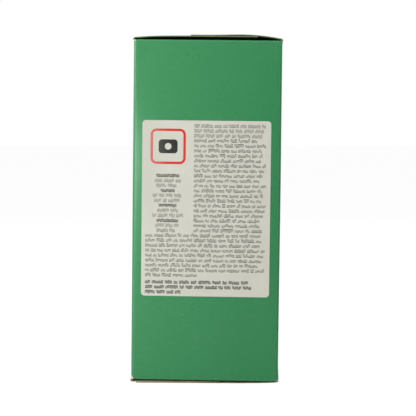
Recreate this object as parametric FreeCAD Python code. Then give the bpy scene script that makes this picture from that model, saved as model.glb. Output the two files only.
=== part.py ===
"""Sealed folding carton for dishwasher tablets, as it stands on a shelf.

One blank of carton board is folded into a tall box and glued shut at both ends, so the closed pack is one
solid. The narrow panel at -Y carries a pale printed panel. Each end is closed by dust flaps under two wide
closing flaps, an inner and an outer one, which overlap and spring open a little at their cut edges.

The closure is worked out square to the box, with z = 0 at the narrow panels' bottom fold. The bottom flaps lie
two thick at the left and one thick at the right, so the finished pack is turned by that lean and set down with
its outer bottom flap flat on z = 0. Sizes are in millimetres.
"""

import FreeCAD, Part
import math
import os

# The box
PACK_WIDTH = 75.0  # narrow panel, along X
PACK_DEPTH = 110.0  # wide panel, along Y
PANEL_HEIGHT = 172.6  # narrow panel, from its bottom fold to its top fold
BOARD = 0.5  # thickness of the carton board

# Folds and cut edges
CORNER_RADIUS = 1.0  # outside of the four upright folds
DUST_FOLD_RADIUS = 0.8  # outside of the folds between the narrow panels and their dust flaps
FLAP_FOLD_RADIUS = 1.0  # outside of the folds between the wide panels and the closing flaps
FLAP_FOLD_PROUD = 0.4  # how far those folds stand out past the wide panels
FLAP_SETBACK = 0.7  # from a narrow panel's face back to the closing flaps' cut edges
SEAM_SETBACK = 0.4  # from the left wide panel back to the free edge that is glued over its tab
GLUE_BITE = 0.03  # how far the outer flap is pressed into the inner one where they are glued

# Top closure: heights of a flap's inside face are above the narrow panels' top fold
TOP_INNER_SHORT = 12.4  # from the cut end to the wide panel across from the fold
TOP_INNER_ROOT = 0.4  # height at the fold
TOP_INNER_SPRING = 0.9  # further height that it springs up to
TOP_INNER_RUN = 12.0  # length over which it springs up
TOP_OUTER_SHORT = 28.7
TOP_OUTER_ROOT = 0.0
TOP_OUTER_RUN = 10.0
TOP_OUTER_HUMP = 0.42  # how far it bows off the inner flap before it lands on it
TOP_OUTER_HUMP_AT = 19.0  # from the fold to the top of the bow
TOP_OUTER_HUMP_WIDTH = 8.0

# Bottom closure
BOTTOM_INNER_SHORT = 30.0
BOTTOM_OUTER_SHORT = 2.6
BOTTOM_SLACK_LEFT = 0.6  # air between the narrow panels' bottom fold and the flaps, at the left
BOTTOM_SLACK_RIGHT = 0.3  # the same at the right, where only the outer flap lies

# Pale field on the narrow panel at -Y, by its distance from each of that panel's folds
INK = 0.08  # thickness of a printed layer
FIELD_LEFT = 4.75
FIELD_RIGHT = 5.1
FIELD_BELOW = 42.7
FIELD_ABOVE = 40.8
FIELD_CORNER = 1.8

# Plain symbol at the field's top left: a rounded frame round a tablet with a round spot
COLUMN_INSET = 26.3  # from the field's left edge to the right-hand column of print
SYMBOL_MARGIN = 4.2  # from the symbol to the field's top and left edges, and to the right-hand column
SYMBOL_LINE = 1.25
SYMBOL_CORNER = 3.0
TABLET_GAP_SIDE = 2.9  # from the frame to the tablet
TABLET_GAP_ABOVE = 4.2
TABLET_CORNER = 1.6
TABLET_RIM = 1.8  # from the tablet's long edges to its spot

# Lines of print, as one bar for each word
LINE_MARGIN = 1.9  # from the field's left and right edges to the print
LINE_PITCH = 2.53
LINE_DROP = 2.7  # from the field's top edge to the middle of the first line
PLAIN_HEIGHT = 1.15
BOLD_HEIGHT = 1.45
FOOTER_LINES = 3
FOOTER_RISE = 2.1  # from the field's bottom edge to the middle of the last footer line
FOOTER_GAP = 0.5  # further space above the footer
CAPTION_GAP = 5.8  # from the symbol down to the middle of the first caption line
CAPTION_LINES = 12
CAPTION_GROUP = 3  # caption lines in a group, of which the first is bold
CAPTION_MARGIN = 4.9  # from the widest caption line to the field's left edge and the right-hand column
CAPTION_SPREAD = 6.5  # the narrowest plain caption line is this much narrower than the widest
CAPTION_BOLD = 6.5  # a bold caption line is this much narrower than a plain one
WORD_GAP = 0.7
WORD_SHORTEST = 1.5
WORD_SPREAD = 5.2  # the longest word is this much longer than the shortest
RAGGED = 3.5  # how far a line may end short of the margin
FOOTER_RAGGED = 10.0  # the same for the footer
FOOTER_LAST = 20.0  # length of the last footer line

# Worked out from the sizes above
GOLDEN = (math.sqrt(5.0) - 1.0) / 2.0  # its multiples, without their whole part, mix the word lengths
LEFT, RIGHT = -1, 1
DROP_LEFT = BOTTOM_SLACK_LEFT + 2 * BOARD
DROP_RIGHT = BOTTOM_SLACK_RIGHT + BOARD
LEAN = math.atan2(DROP_LEFT - DROP_RIGHT, PACK_WIDTH)
FRONT = -PACK_DEPTH / 2
FIELD_X = (-PACK_WIDTH / 2 + FIELD_LEFT, PACK_WIDTH / 2 - FIELD_RIGHT)
FIELD_Z = (FIELD_BELOW, PANEL_HEIGHT - FIELD_ABOVE)
LINE_LEFT = FIELD_X[0] + LINE_MARGIN
LINE_RIGHT = FIELD_X[1] - LINE_MARGIN
COLUMN_LEFT = FIELD_X[0] + COLUMN_INSET
SYMBOL_SIZE = COLUMN_INSET - 2 * SYMBOL_MARGIN
SYMBOL_X = FIELD_X[0] + COLUMN_INSET / 2
SYMBOL_Z = FIELD_Z[1] - SYMBOL_MARGIN - SYMBOL_SIZE / 2
SYMBOL_INSIDE = SYMBOL_SIZE - 2 * SYMBOL_LINE
TABLET_WIDTH = SYMBOL_INSIDE - 2 * TABLET_GAP_SIDE
TABLET_HEIGHT = SYMBOL_INSIDE - 2 * TABLET_GAP_ABOVE
FOOTER_TOP = FIELD_Z[0] + FOOTER_RISE + (FOOTER_LINES - 1) * LINE_PITCH


def rounded(u, v, radius, point):
    """A wire round a rectangle with rounded corners; point(u, v) places it in space."""
    u0, u1 = u
    v0, v1 = v
    slant = radius * (1 - math.sqrt(0.5))
    corners = [
        ((u1 - radius, v0), (u1 - slant, v0 + slant), (u1, v0 + radius)),
        ((u1, v1 - radius), (u1 - slant, v1 - slant), (u1 - radius, v1)),
        ((u0 + radius, v1), (u0 + slant, v1 - slant), (u0, v1 - radius)),
        ((u0, v0 + radius), (u0 + slant, v0 + slant), (u0 + radius, v0)),
    ]
    edges = []
    for index, (start, middle, end) in enumerate(corners):
        edges.append(Part.Arc(point(*start), point(*middle), point(*end)).toShape())
        following = corners[(index + 1) % len(corners)][0]
        edges.append(Part.LineSegment(point(*end), point(*following)).toShape())
    return Part.Wire(edges)


def box_plan():
    """The box seen from above: three round upright folds, and the glued seam at the back left."""
    x, y, r = PACK_WIDTH / 2, PACK_DEPTH / 2, CORNER_RADIUS
    slant = r * (1 - math.sqrt(0.5))

    def at(u, v):
        return FreeCAD.Vector(u, v, 0)

    def arc(start, middle, end):
        return Part.Arc(at(*start), at(*middle), at(*end)).toShape()

    def line(start, end):
        return Part.LineSegment(at(*start), at(*end)).toShape()

    # The left wide panel bends into a tab that lies one board inside; the back panel's cut edge covers it.
    tab_y = y - BOARD - r
    turn = math.acos(1 - SEAM_SETBACK / r)
    seam_x = -x + SEAM_SETBACK
    seam_middle = (-x + r * (1 - math.cos(turn / 2)), tab_y + r * math.sin(turn / 2))
    seam_end = (seam_x, tab_y + r * math.sin(turn))
    return Part.Wire(
        [
            arc((-x, -y + r), (-x + slant, -y + slant), (-x + r, -y)),
            line((-x + r, -y), (x - r, -y)),
            arc((x - r, -y), (x - slant, -y + slant), (x, -y + r)),
            line((x, -y + r), (x, y - r)),
            arc((x, y - r), (x - slant, y - slant), (x - r, y)),
            line((x - r, y), (seam_x, y)),
            line((seam_x, y), seam_end),
            arc(seam_end, seam_middle, (-x, tab_y)),
            line((-x, tab_y), (-x, -y + r)),
        ]
    )


def box_body():
    """The four upright panels with the dust flaps folded in at both ends, filled by what the pack holds."""
    upright = Part.Face(box_plan()).extrude(FreeCAD.Vector(0, 0, PANEL_HEIGHT))
    x = PACK_WIDTH / 2
    side = rounded(
        (-PACK_DEPTH / 2, PACK_DEPTH / 2),
        (0, PANEL_HEIGHT),
        DUST_FOLD_RADIUS,
        lambda v, w: FreeCAD.Vector(-x, v, w),
    )
    return upright.common(Part.Face(side).extrude(FreeCAD.Vector(PACK_WIDTH, 0, 0)))


def curve(points):
    """A straight edge through two points, or a smooth one through more."""
    if len(points) == 2:
        return Part.LineSegment(*points).toShape()
    spline = Part.BSplineCurve()
    spline.interpolate(points)
    return spline.toShape()


def closing_flap(hinge, top, short, height, spans):
    """A closing flap and its fold.

    hinge is LEFT or RIGHT, and top says which end. short is the distance from the cut end to the wide panel
    across. height(s) is the inside face's height over the narrow panels' fold, outwards, at a distance s
    from the wide panel that the flap hangs on. spans is how many spans its curve is drawn through.
    """
    length = FreeCAD.Vector(0, PACK_DEPTH - 2 * FLAP_SETBACK, 0)

    def at(s, h):
        x = hinge * (PACK_WIDTH / 2 - s)
        return FreeCAD.Vector(x, FRONT + FLAP_SETBACK, PANEL_HEIGHT + h if top else -h)

    fold_s = FLAP_FOLD_RADIUS - FLAP_FOLD_PROUD
    steps = [fold_s + (PACK_WIDTH - short - fold_s) * i / spans for i in range(spans + 1)]
    inside = [at(s, height(s)) for s in steps]
    outside = [at(s, height(s) + BOARD) for s in steps]
    edges = [
        curve(inside),
        curve([inside[-1], outside[-1]]),
        curve(outside),
        curve([outside[0], inside[0]]),
    ]
    flap = Part.Face(Part.Wire(edges)).extrude(length)
    centre = at(fold_s, height(0) + BOARD - FLAP_FOLD_RADIUS)
    fold = Part.makeCylinder(FLAP_FOLD_RADIUS, length.y, centre, FreeCAD.Vector(0, 1, 0))
    return [flap, fold]


def top_inner_height(s):
    """The top inner flap springs up from its fold and levels out."""
    return TOP_INNER_ROOT + TOP_INNER_SPRING * math.tanh(s / TOP_INNER_RUN)


def top_outer_height(s):
    """The top outer flap springs up, bows over the inner flap's cut end and lands on it."""
    landing = TOP_INNER_ROOT + TOP_INNER_SPRING + BOARD - GLUE_BITE
    rise = (landing - TOP_OUTER_ROOT) * math.tanh(s / TOP_OUTER_RUN)
    offset = (s - TOP_OUTER_HUMP_AT) / TOP_OUTER_HUMP_WIDTH
    return TOP_OUTER_ROOT + rise + TOP_OUTER_HUMP * math.exp(-0.5 * offset**2)


def floor_drop(x):
    """How far what the pack stands on lies below the narrow panels' bottom fold, at x."""
    share = (x + PACK_WIDTH / 2) / PACK_WIDTH
    return DROP_LEFT + (DROP_RIGHT - DROP_LEFT) * share


def bottom_outer_height(s):
    """The bottom outer flap is pressed flat by the pack's weight."""
    return floor_drop(PACK_WIDTH / 2 - s) - BOARD


def bottom_inner_height(s):
    """The bottom inner flap lies on the outer one."""
    return floor_drop(s - PACK_WIDTH / 2) - 2 * BOARD + GLUE_BITE


def carton():
    """The whole folded and glued blank."""
    pieces = []
    pieces += closing_flap(LEFT, True, TOP_INNER_SHORT, top_inner_height, spans=12)
    pieces += closing_flap(RIGHT, True, TOP_OUTER_SHORT, top_outer_height, spans=12)
    pieces += closing_flap(LEFT, False, BOTTOM_INNER_SHORT, bottom_inner_height, spans=1)
    pieces += closing_flap(RIGHT, False, BOTTOM_OUTER_SHORT, bottom_outer_height, spans=1)
    return box_body().multiFuse(pieces).removeSplitter()


def on_front(layer):
    """Returns a function that places a point of the print on the given layer of ink."""
    return lambda u, v: FreeCAD.Vector(u, FRONT - layer * INK, v)


def printed(outline, holes=()):
    """A layer of ink from its outline and the outlines left free in it."""
    face = Part.Face(outline)
    for hole in holes:
        face = face.cut(Part.Face(hole))
    return face.extrude(FreeCAD.Vector(0, -INK, 0))


def pale_field():
    """The pale field with round corners, straight on the board."""
    return printed(rounded(FIELD_X, FIELD_Z, FIELD_CORNER, on_front(0)))


def round_symbol(width, height, corner):
    """A rounded outline round the symbol's middle, on the pale field."""
    across = (SYMBOL_X - width / 2, SYMBOL_X + width / 2)
    up = (SYMBOL_Z - height / 2, SYMBOL_Z + height / 2)
    return rounded(across, up, corner, on_front(1))


def symbol_frame():
    """The rounded frame of the symbol."""
    outline = round_symbol(SYMBOL_SIZE, SYMBOL_SIZE, SYMBOL_CORNER)
    return printed(outline, [round_symbol(SYMBOL_INSIDE, SYMBOL_INSIDE, SYMBOL_CORNER - SYMBOL_LINE)])


def symbol_tablet():
    """The tablet in the symbol, with its round spot left free."""
    outline = round_symbol(TABLET_WIDTH, TABLET_HEIGHT, TABLET_CORNER)
    middle = on_front(1)(SYMBOL_X, SYMBOL_Z)
    spot = Part.makeCircle(TABLET_HEIGHT / 2 - TABLET_RIM, middle, FreeCAD.Vector(0, 1, 0))
    return printed(outline, [Part.Wire(spot)])


def mixed(row, number):
    """A value from 0 to 1 that differs from row to row and from word to word."""
    return ((row + 1) * (number + 2) * GOLDEN) % 1.0


def words(start, end, row):
    """The two ends of each word that fits between start and end, on a line numbered row."""
    found = []
    while end - start >= WORD_SHORTEST:
        length = WORD_SHORTEST + WORD_SPREAD * mixed(row, len(found))
        found.append((start, min(start + length, end)))
        start += length + WORD_GAP
    return found


def word_bars(span, z, height, row):
    """A bar of ink for each word of a line, with its middle at height z."""
    bars = []
    for left, right in words(*span, row):
        corner = on_front(2)(left, z - height / 2)
        bars.append(Part.makeBox(right - left, INK, height, corner))
    return bars


def caption():
    """Plain bars and bold bars of the centred lines under the symbol, and how low they reach."""
    plain, bold = [], []
    widest = COLUMN_INSET - 2 * CAPTION_MARGIN
    z = SYMBOL_Z - SYMBOL_SIZE / 2 - CAPTION_GAP
    for row in range(CAPTION_LINES):
        half = (widest - CAPTION_SPREAD * mixed(row, 0)) / 2
        if row % CAPTION_GROUP:
            plain += word_bars((SYMBOL_X - half, SYMBOL_X + half), z, PLAIN_HEIGHT, row)
        else:
            half -= CAPTION_BOLD / 2
            bold += word_bars((SYMBOL_X - half, SYMBOL_X + half), z, BOLD_HEIGHT, row)
        z -= LINE_PITCH
    return plain, bold, z


def body_text(caption_foot):
    """Plain bars beside the caption, and then across the whole field under it."""
    bars = []
    row = 0
    z = FIELD_Z[1] - LINE_DROP
    while z - LINE_PITCH - FOOTER_GAP >= FOOTER_TOP:
        left = COLUMN_LEFT if z > caption_foot + LINE_PITCH / 2 else LINE_LEFT
        right = LINE_RIGHT - RAGGED * mixed(row, 0)
        bars += word_bars((left, right), z, PLAIN_HEIGHT, row)
        row += 1
        z -= LINE_PITCH
    return bars


def footer():
    """Bold bars along the field's foot."""
    bars = []
    for row in range(FOOTER_LINES):
        right = LINE_RIGHT - FOOTER_RAGGED * (1 - mixed(row, 0) * GOLDEN)
        if row == FOOTER_LINES - 1:
            right = LINE_LEFT + FOOTER_LAST
        bars += word_bars((LINE_LEFT, right), FOOTER_TOP - row * LINE_PITCH, BOLD_HEIGHT, row)
    return bars


def standing():
    """The placement that sets the leaning pack down on z = 0, with the middle of its box over the origin."""
    cos, sin = math.cos(LEAN), math.sin(LEAN)
    fold_x = PACK_WIDTH / 2 + FLAP_FOLD_PROUD - FLAP_FOLD_RADIUS
    low_fold_z = FLAP_FOLD_RADIUS - BOARD - bottom_inner_height(0)
    high_fold_z = PANEL_HEIGHT + top_outer_height(0) + BOARD - FLAP_FOLD_RADIUS
    x_low = -fold_x * cos + low_fold_z * sin - FLAP_FOLD_RADIUS
    x_high = fold_x * cos + high_fold_z * sin + FLAP_FOLD_RADIUS
    z_low = -PACK_WIDTH / 2 * sin - DROP_RIGHT * cos
    shift = FreeCAD.Vector(-(x_low + x_high) / 2, INK, -z_low)
    return FreeCAD.Placement(shift, FreeCAD.Rotation(FreeCAD.Vector(0, 1, 0), math.degrees(LEAN)))


def main():
    """Builds every node, sets it down and writes it to parts."""
    caption_plain, caption_bold, caption_foot = caption()
    nodes = {
        "carton": carton(),
        "pale_field_print": pale_field(),
        "symbol_frame_print": symbol_frame(),
        "symbol_tablet_print": symbol_tablet(),
        "plain_line_print": Part.Compound(caption_plain + body_text(caption_foot)),
        "bold_line_print": Part.Compound(caption_bold + footer()),
    }
    os.makedirs("parts", exist_ok=True)
    place = standing().toMatrix()
    for name, shape in nodes.items():
        shape.transformed(place, True).exportStep("parts/" + name + ".step")


main()
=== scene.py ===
"""Looks of a sealed folding carton for dishwasher tablets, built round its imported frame.

The carton is worked out square to itself, in millimetres, with z = 0 at the narrow panels' bottom fold and
the printed narrow panel at -Y. Every mesh is then bent by the few tenths of a millimetre by which a filled
carton leaves its flat planes, turned by the pack's lean, and set down in the frame in metres.
"""

import logging
import math
from dataclasses import dataclass, field
from enum import Enum
from typing import Any, Callable, Iterable, Mapping, Sequence, Union

import bmesh
import bpy
from mathutils import Color, Matrix, Vector


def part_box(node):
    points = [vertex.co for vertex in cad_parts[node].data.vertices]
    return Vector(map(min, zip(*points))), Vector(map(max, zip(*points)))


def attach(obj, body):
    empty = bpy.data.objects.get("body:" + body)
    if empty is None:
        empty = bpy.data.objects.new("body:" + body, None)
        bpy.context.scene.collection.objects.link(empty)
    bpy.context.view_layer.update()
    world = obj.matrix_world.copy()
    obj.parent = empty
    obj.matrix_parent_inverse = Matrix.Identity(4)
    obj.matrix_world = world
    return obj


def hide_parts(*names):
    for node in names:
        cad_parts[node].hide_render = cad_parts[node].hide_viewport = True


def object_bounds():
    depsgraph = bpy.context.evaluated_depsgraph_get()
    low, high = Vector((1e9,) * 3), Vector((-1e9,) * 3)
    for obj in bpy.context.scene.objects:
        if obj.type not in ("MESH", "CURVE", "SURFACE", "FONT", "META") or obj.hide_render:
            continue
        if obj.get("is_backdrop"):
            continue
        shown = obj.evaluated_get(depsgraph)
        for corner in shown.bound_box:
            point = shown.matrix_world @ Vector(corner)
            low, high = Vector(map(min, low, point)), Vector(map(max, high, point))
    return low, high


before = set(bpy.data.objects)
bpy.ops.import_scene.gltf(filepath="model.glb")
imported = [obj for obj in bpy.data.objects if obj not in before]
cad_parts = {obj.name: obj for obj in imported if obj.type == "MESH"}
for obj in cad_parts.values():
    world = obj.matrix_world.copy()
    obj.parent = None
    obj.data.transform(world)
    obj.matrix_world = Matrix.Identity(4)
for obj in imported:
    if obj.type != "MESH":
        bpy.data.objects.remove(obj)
CAD_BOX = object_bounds()

log = logging.getLogger("carton")

MM = 0.001
BODY = "root"
GOLDEN = (math.sqrt(5.0) - 1.0) / 2.0
FLOAT = "NodeSocketFloat"
WHOLE = "NodeSocketInt"

Point = tuple[float, float]
Point3 = tuple[float, float, float]
Colour = tuple[float, float, float]
Number = Union[float, "Wire"]
Values = Mapping[Union[str, int], Any]
Words = list[list[Point3]]


class Side(Enum):
    """The wide panel that a closing flap hangs on."""

    LEFT = -1
    RIGHT = 1


class End(Enum):
    """The end of the carton that a flap closes."""

    TOP = 1
    BOTTOM = -1


class Stock(Enum):
    """What a face of the board shows, by its material slot."""

    PRINTED = 0
    CUT = 1
    INSIDE = 2


def eased(value: float, low: float, high: float) -> float:
    """Returns a share that eases from 0 to 1 as a value goes from low to high."""
    share = min(1.0, max(0.0, (value - low) / (high - low)))
    return share * share * (3.0 - 2.0 * share)


def spread(start: float, end: float, spans: int) -> list[float]:
    """Returns the two ends of a stretch and the values that divide it into even spans."""
    return [start + (end - start) * step / spans for step in range(spans + 1)]


def between(first: Point, second: Point, share: float) -> Point:
    """Returns the point that lies at a share of the way from one point to another."""
    return first[0] + (second[0] - first[0]) * share, first[1] + (second[1] - first[1]) * share


def arc(centre: Point, radius: float, start: float, end: float, spans: int) -> list[Point]:
    """Returns the points of an arc about a centre, between two angles in degrees."""
    angles = spread(math.radians(start), math.radians(end), spans)
    return [(centre[0] + radius * math.cos(angle), centre[1] + radius * math.sin(angle)) for angle in angles]


def linear(*shown: int) -> Colour:
    """Returns the light of a colour that is written as a screen shows it, in three values up to 255."""
    return tuple(Color([value / 255.0 for value in shown]).from_srgb_to_scene_linear())


@dataclass(frozen=True)
class CartonForm:
    """The carton's sizes in millimetres, the way a filled carton bends, and how it stands.

    Each press is a soft dent of the left fold, with its height, its reach and its depth. Each wave of the
    narrow panels' unevenness has its length across and up, and where it starts.
    """

    width: float = 75.0
    panel_height: float = 172.7
    board: float = 0.5
    corner_radius: float = 1.2
    dust_fold_radius: float = 0.6
    flap_fold_radius: float = 1.0
    flap_fold_proud: float = 0.4
    flap_setback: float = 0.7
    seam_setback: float = 0.4
    glue_bite: float = 0.03
    slack_left: float = 0.9
    slack_right: float = 0.55
    draw_in: float = 0.1
    fold_bow: float = 0.05
    fold_reach: float = 1.5
    fold_rest: float = 0.3
    wide_bulge: float = 0.35
    narrow_bulge: float = 0.3
    edge_roll: float = 0.08
    edge_roll_run: float = 6.0
    edge_roll_depth: float = 12.0
    presses: tuple[Point3, ...] = ((116.5, 18.0, 0.42), (76.5, 30.0, 0.26))
    ripple: float = 0.02
    waves: tuple[Point3, ...] = ((9.0, 31.0, 0.0), (-23.0, 17.0, 1.3))
    flap_dome: float = 0.3
    dome_step: float = 0.5
    depth: float = field(init=False)
    shift: Vector = field(init=False)

    def __post_init__(self) -> None:
        """Takes the depth and the standing place from the frame's carton."""
        low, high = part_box("carton")
        object.__setattr__(self, "depth", (high[1] - low[1]) / MM)
        fold_x = self.width / 2 + self.flap_fold_proud - self.flap_fold_radius
        fold_z = self.flap_fold_radius - self.drop_left + self.board - self.glue_bite
        leftmost = -fold_x * math.cos(self.lean) + fold_z * math.sin(self.lean) - self.flap_fold_radius
        lowest = -self.width / 2 * math.sin(self.lean) - self.drop_right * math.cos(self.lean)
        middle = (high[1] + low[1]) / 2 / MM
        object.__setattr__(self, "shift", Vector((low[0] / MM - leftmost, middle, low[2] / MM - lowest)))

    @property
    def drop_left(self) -> float:
        """How far the floor lies under the bottom fold at the left, where two flaps lie."""
        return self.slack_left + 2 * self.board

    @property
    def drop_right(self) -> float:
        """How far the floor lies under the bottom fold at the right, where one flap lies."""
        return self.slack_right + self.board

    @property
    def lean(self) -> float:
        """The angle by which the carton leans to the right, in radians."""
        return math.atan2(self.drop_left - self.drop_right, self.width)

    @property
    def front(self) -> float:
        """The printed narrow panel's plane, along Y."""
        return -self.depth / 2

    def floor_drop(self, x: float) -> float:
        """Returns how far the floor lies under the bottom fold at x."""
        return self.drop_left + (self.drop_right - self.drop_left) * (x / self.width + 0.5)

    def ripple_at(self, x: float, z: float) -> float:
        """Returns the slow unevenness of a narrow panel, where gentle waves cross."""
        return self.ripple * sum(math.sin(x / across + z / up + start) for across, up, start in self.waves)

    def press_at(self, z: float) -> float:
        """Returns how deep the left fold is pressed at z."""
        return sum(depth * math.exp(-(((z - at) / reach) ** 2)) for at, reach, depth in self.presses)

    def flexed(self, place: Vector) -> Vector:
        """Bends a point of the square carton to where it lies on a filled one.

        Args:
            place: The point on the square carton.

        Returns:
            The bent point.
        """
        x, y, z = place
        half_width, half_depth = self.width / 2, self.depth / 2
        up = max(0.0, 1.0 - (2.0 * z / self.panel_height - 1.0) ** 2)
        across = max(0.0, 1.0 - (x / half_width) ** 2)
        along = max(0.0, 1.0 - (y / half_depth) ** 2)
        on_wide = eased(abs(x), half_width - self.fold_reach, half_width - self.fold_rest)
        on_narrow = eased(abs(y), half_depth - self.fold_reach, half_depth - self.fold_rest)
        beside_narrow = eased(abs(y), half_depth - self.edge_roll_depth, half_depth)
        near_fold = math.exp(-max(0.0, half_width - abs(x)) / self.edge_roll_run)
        roll = (self.edge_roll * up + self.press_at(z) * (x < 0)) * near_fold
        bulge = self.narrow_bulge * across * up
        bulge += self.ripple_at(x, z) * math.sqrt(across) * min(1.0, 4 * up)
        outwards = x / half_width * (self.fold_bow * up - self.draw_in)
        outwards += math.copysign(1.0, x) * on_wide * self.wide_bulge * along * up
        forwards = math.copysign(1.0, y) * (on_narrow * bulge - beside_narrow * roll)
        rise = self.flap_dome * along * across * eased(z - self.panel_height, 0.0, self.dome_step)
        return Vector((x + outwards, y + forwards, z + rise))

    def standing(self) -> Matrix:
        """Returns the matrix from the square carton in millimetres to the frame in metres."""
        return Matrix.Scale(MM, 4) @ Matrix.Translation(self.shift) @ Matrix.Rotation(self.lean, 4, "Y")

    def set_down(self, mesh: bpy.types.Mesh) -> None:
        """Bends a square mesh, and turns and moves it to its place in the frame.

        Args:
            mesh: The mesh, which is changed.
        """
        for vertex in mesh.vertices:
            vertex.co = self.flexed(vertex.co)
        mesh.transform(self.standing())
        mesh.update()


class Wire:
    """A link between nodes. A number's sums add their Math nodes as they are worked out."""

    def __init__(self, bench: "Bench", socket: bpy.types.NodeSocket) -> None:
        """Wraps an output socket of a bench's tree."""
        self.bench = bench
        self.socket = socket

    def output(self, name: str) -> "Wire":
        """Returns a link to another output of the same node."""
        return Wire(self.bench, self.socket.node.outputs[name])

    def parts(self) -> list["Wire"]:
        """Returns the three parts of a vector."""
        split = self.bench.node("ShaderNodeSeparateXYZ", {}, {0: self})
        return [split.output(axis) for axis in "XYZ"]

    def _sum(self, operation: str, first: Number, second: Number) -> "Wire":
        """Returns the result of a Math node on two numbers."""
        return self.bench.node("ShaderNodeMath", {"operation": operation}, {0: first, 1: second})

    def __add__(self, other: Number) -> "Wire":
        """Returns this plus other."""
        return self._sum("ADD", self, other)

    __radd__ = __add__

    def __sub__(self, other: Number) -> "Wire":
        """Returns this minus other."""
        return self._sum("SUBTRACT", self, other)

    def __rsub__(self, other: Number) -> "Wire":
        """Returns other minus this."""
        return self._sum("SUBTRACT", other, self)

    def __mul__(self, other: Number) -> "Wire":
        """Returns this times other."""
        return self._sum("MULTIPLY", self, other)

    __rmul__ = __mul__

    def __truediv__(self, other: Number) -> "Wire":
        """Returns this divided by other."""
        return self._sum("DIVIDE", self, other)

    def __gt__(self, other: Number) -> "Wire":
        """Returns 1 where this is larger than other, and 0 elsewhere."""
        return self._sum("GREATER_THAN", self, other)

    def __abs__(self) -> "Wire":
        """Returns this without its sign."""
        return self._sum("ABSOLUTE", self, 0.0)

    def __round__(self) -> "Wire":
        """Returns the nearest whole number."""
        return self._sum("ROUND", self, 0.0)

    def least(self, other: Number) -> "Wire":
        """Returns the smaller of this and other."""
        return self._sum("MINIMUM", self, other)

    def most(self, other: Number) -> "Wire":
        """Returns the larger of this and other."""
        return self._sum("MAXIMUM", self, other)

    def swing(self, amount: float) -> "Wire":
        """Returns a noise as an unevenness about 0, by up to half an amount either way."""
        return (self - 0.5) * amount

    def eased(self, low: float, high: float) -> "Wire":
        """Returns a share that eases from 0 to 1 as this goes from low to high."""
        values = {"Value": self, "From Min": low, "From Max": high}
        return self.bench.node("ShaderNodeMapRange", {"interpolation_type": "SMOOTHSTEP"}, values)


class Bench:
    """Builds one node tree."""

    def __init__(self, tree: bpy.types.NodeTree) -> None:
        """Starts on an emptied tree."""
        self.tree = tree
        self.tree.nodes.clear()

    def node(self, kind: str, settings: Values = {}, values: Values = {}) -> Wire:
        """Makes a node.

        Args:
            kind: The node's type.
            settings: Its settings, which are set first.
            values: The values or links of its input sockets, by name or number. A list is several links.

        Returns:
            A link to its first output that is in use.
        """
        node = self.tree.nodes.new(kind)
        for name, setting in settings.items():
            setattr(node, name, setting)
        for name, value in values.items():
            socket = node.inputs[name]
            for part in value if isinstance(value, list) else [value]:
                if isinstance(part, Wire):
                    self.tree.links.new(part.socket, socket)
                else:
                    socket.default_value = (*part, 1.0) if socket.type == "RGBA" else part
        return Wire(self, next((socket for socket in node.outputs if socket.enabled), None))


@dataclass(frozen=True)
class Grain:
    """A noise: its lumps to a millimetre, its finer layers, their strength, and its squeeze along X, Y, Z."""

    scale: float
    layers: float
    rough: float = 0.5
    squeeze: Point3 = (1.0, 1.0, 1.0)


SPECKLE = Grain(1.6, 2.0, 0.6)
FIBRES = Grain(2.6, 4.0, 0.65, (1.0, 1.0, 0.35))


class BoardBench(Bench):
    """Builds a material of the carton, whose patterns lie on the square carton in millimetres."""

    def __init__(self, name: str, form: CartonForm) -> None:
        """Starts a material.

        Args:
            name: Its name.
            form: The carton's form.
        """
        self.material = bpy.data.materials.new(name)
        self.material.use_nodes = True
        super().__init__(self.material.node_tree)
        values = {
            "Vector": self.node("ShaderNodeTexCoord").output("Object"),
            "Location": -(Matrix.Rotation(-form.lean, 3, "Y") @ form.shift),
            "Rotation": (0.0, -form.lean, 0.0),
            "Scale": (1.0 / MM, 1.0 / MM, 1.0 / MM),
        }
        self.place = self.node("ShaderNodeMapping", {"vector_type": "POINT"}, values)
        self.x, self.y, self.z = self.place.parts()

    def mixed(self, share: Number, first: Any, second: Any) -> Wire:
        """Returns a mix of two colours, from the first at a share of 0 to the second at 1."""
        values = {"Factor": share, "A": first, "B": second}
        return self.node("ShaderNodeMix", {"data_type": "RGBA"}, values)

    def noise(self, grain: Grain) -> Wire:
        """Makes a noise on the square carton.

        Args:
            grain: Its sizes.

        Returns:
            The noise, about 0.5 on average.
        """
        squeeze = {0: self.place, 1: grain.squeeze}
        place = self.node("ShaderNodeVectorMath", {"operation": "MULTIPLY"}, squeeze)
        values = {"Vector": place, "Scale": grain.scale, "Detail": grain.layers, "Roughness": grain.rough}
        return self.node("ShaderNodeTexNoise", {}, values)

    def finish(
        self, colour: Wire, rough: Number, gloss: float, relief: Wire, depth: float, strength: float
    ) -> bpy.types.Material:
        """Ends the material in a Principled shader.

        Args:
            colour: Its colour.
            rough: Its roughness.
            gloss: How strongly it mirrors.
            relief: The height of its fine relief, from 0 to 1.
            depth: How much a height of 1 is, in metres.
            strength: How strongly the relief shows.

        Returns:
            The material.
        """
        bump = self.node("ShaderNodeBump", {}, {"Strength": strength, "Distance": depth, "Height": relief})
        values = {"Base Color": colour, "Roughness": rough, "Specular IOR Level": gloss, "Normal": bump}
        shader = self.node("ShaderNodeBsdfPrincipled", {}, values)
        self.node("ShaderNodeOutputMaterial", {}, {"Surface": shader})
        return self.material


@dataclass(frozen=True)
class Mark:
    """A small soft mark on the narrow panel: its middle, half its width and height, and its strength."""

    x: float
    z: float
    wide: float
    tall: float
    strength: float


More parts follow.
